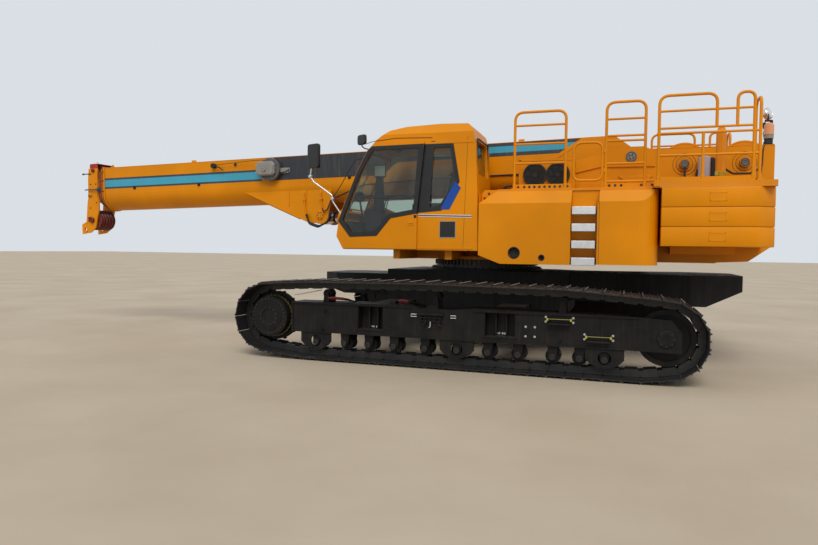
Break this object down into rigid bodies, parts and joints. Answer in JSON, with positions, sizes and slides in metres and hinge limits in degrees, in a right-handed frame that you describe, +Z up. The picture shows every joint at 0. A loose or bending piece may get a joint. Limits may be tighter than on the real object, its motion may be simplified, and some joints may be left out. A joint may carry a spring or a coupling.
{
  "type": "crawler crane",
  "caption": "Telescopic crawler crane on steel tracks, with a slewing upper works, sliding-door cab, winches, stacked rear counterweight and a boom raised by one cylinder.",
  "frame": {"origin": "middle of the machine's box, on the ground under the tracks", "axes": "+X towards the boom head, +Y to the cab side, +Z up"},
  "size_m": [12.021, 4.9, 3.5178],
  "materials": {
    "yellow_paint": "glossy machine paint",
    "dark_paint": "dull dark grey machine paint",
    "glass": "tinted",
    "seat_fabric": "woven",
    "bare_steel": "satin",
    "chromed_rod": "polished",
    "track_steel": "worn",
    "red_paint": "dull",
    "grey_paint": "satin",
    "black_plastic": "matt",
    "engine_iron": "as cast"
  },
  "bodies": {
    "undercarriage": {"carbody": "dark_paint", "slew_ring": "track_steel", "side_frame_left": "dark_paint", "side_frame_right": "dark_paint", "track_left": "track_steel", "track_right": "track_steel", "sprocket_left": "dark_paint", "sprocket_right": "dark_paint", "idler_left": "dark_paint", "idler_right": "dark_paint", "rollers_left": "dark_paint", "rollers_right": "dark_paint"},
    "upper": {"turntable": "yellow_paint", "cab_shell": "yellow_paint", "cab_glass": "glass", "cab_seat": "seat_fabric", "left_housing": "yellow_paint", "fuel_tank": "yellow_paint", "access_ladder": "bare_steel", "engine_housing": "yellow_paint", "engine_block": "engine_iron", "counterweight_lower": "yellow_paint", "counterweight_middle": "yellow_paint", "counterweight_upper": "yellow_paint", "deck": "yellow_paint", "handrails_left": "yellow_paint", "handrails_right": "yellow_paint", "oil_cooler": "yellow_paint", "mirrors": "black_plastic", "work_lamps": "black_plastic"},
    "door": {"cab_door": "yellow_paint", "door_glass": "glass"},
    "main_winch": {"main_drum": "yellow_paint"},
    "auxiliary_winch": {"auxiliary_drum": "yellow_paint"},
    "ram_barrel": {"lift_barrel": "yellow_paint"},
    "ram_rod": {"lift_rod": "chromed_rod"},
    "boom": {"boom_base": "yellow_paint", "cable_reel": "grey_paint"},
    "section_2": {"boom_section_2": "yellow_paint"},
    "section_3": {"boom_section_3": "yellow_paint"},
    "section_4": {"boom_section_4": "yellow_paint"},
    "section_5": {"boom_section_5": "yellow_paint", "boom_head": "yellow_paint"},
    "hoist_sheave_set": {"hoist_sheaves": "red_paint"},
    "guide_sheave_set": {"guide_sheaves": "red_paint"}
  },
  "joints": [
    {"name": "slew", "type": "hinge", "parent": "undercarriage", "child": "upper", "pos_m": [-2.03053, 0, 1.3], "axis": [0, 0, 1], "continuous": true},
    {"name": "door_slide", "type": "slide", "parent": "upper", "child": "door", "axis": [-1, 0, 0], "range_m": [0, 0.7]},
    {"name": "main_winch_spin", "type": "hinge", "parent": "upper", "child": "main_winch", "pos_m": [-4.90053, 0, 2.745], "axis": [0, 1, 0], "continuous": true},
    {"name": "auxiliary_winch_spin", "type": "hinge", "parent": "upper", "child": "auxiliary_winch", "pos_m": [-5.65053, 0, 2.745], "axis": [0, 1, 0], "continuous": true},
    {"name": "boom_luff", "type": "hinge", "parent": "upper", "child": "boom", "pos_m": [-4.20053, 0, 2.873], "axis": [0, -1, 0], "range_deg": [-0.7, 81.3]},
    {"name": "ram_pivot", "type": "hinge", "parent": "upper", "child": "ram_barrel", "pos_m": [-3.03053, 0, 1.6], "axis": [0, -1, 0], "range_deg": [-0.75, 79.5]},
    {"name": "ram_slide", "type": "slide", "parent": "ram_barrel", "child": "ram_rod", "axis": [0.9922, 0, 0.1245], "range_m": [-0.025, 2.26]},
    {"name": "section_2_slide", "type": "slide", "parent": "boom", "child": "section_2", "axis": [0.9997, 0, -0.0227], "range_m": [0, 7.8]},
    {"name": "section_3_slide", "type": "slide", "parent": "section_2", "child": "section_3", "axis": [0.9997, 0, -0.0227], "range_m": [0, 7.8]},
    {"name": "section_4_slide", "type": "slide", "parent": "section_3", "child": "section_4", "axis": [0.9997, 0, -0.0227], "range_m": [0, 7.8]},
    {"name": "section_5_slide", "type": "slide", "parent": "section_4", "child": "section_5", "axis": [0.9997, 0, -0.0227], "range_m": [0, 7.8]},
    {"name": "hoist_sheave_spin", "type": "hinge", "parent": "section_5", "child": "hoist_sheave_set", "pos_m": [5.74739, 0, 2.00709], "axis": [0, 1, 0], "continuous": true},
    {"name": "guide_sheave_spin", "type": "hinge", "parent": "section_5", "child": "guide_sheave_set", "pos_m": [5.72929, 0, 2.97275], "axis": [0, 1, 0], "continuous": true}
  ],
  "couplings": [
    {"joint": "ram_pivot", "follows": "boom_luff", "ratio": 0.97632},
    {"joint": "ram_slide", "follows": "boom_luff", "m_per_rad": 1.5834},
    {"joint": "section_3_slide", "follows": "section_2_slide", "ratio": 1},
    {"joint": "section_4_slide", "follows": "section_2_slide", "ratio": 1},
    {"joint": "section_5_slide", "follows": "section_2_slide", "ratio": 1}
  ]
}
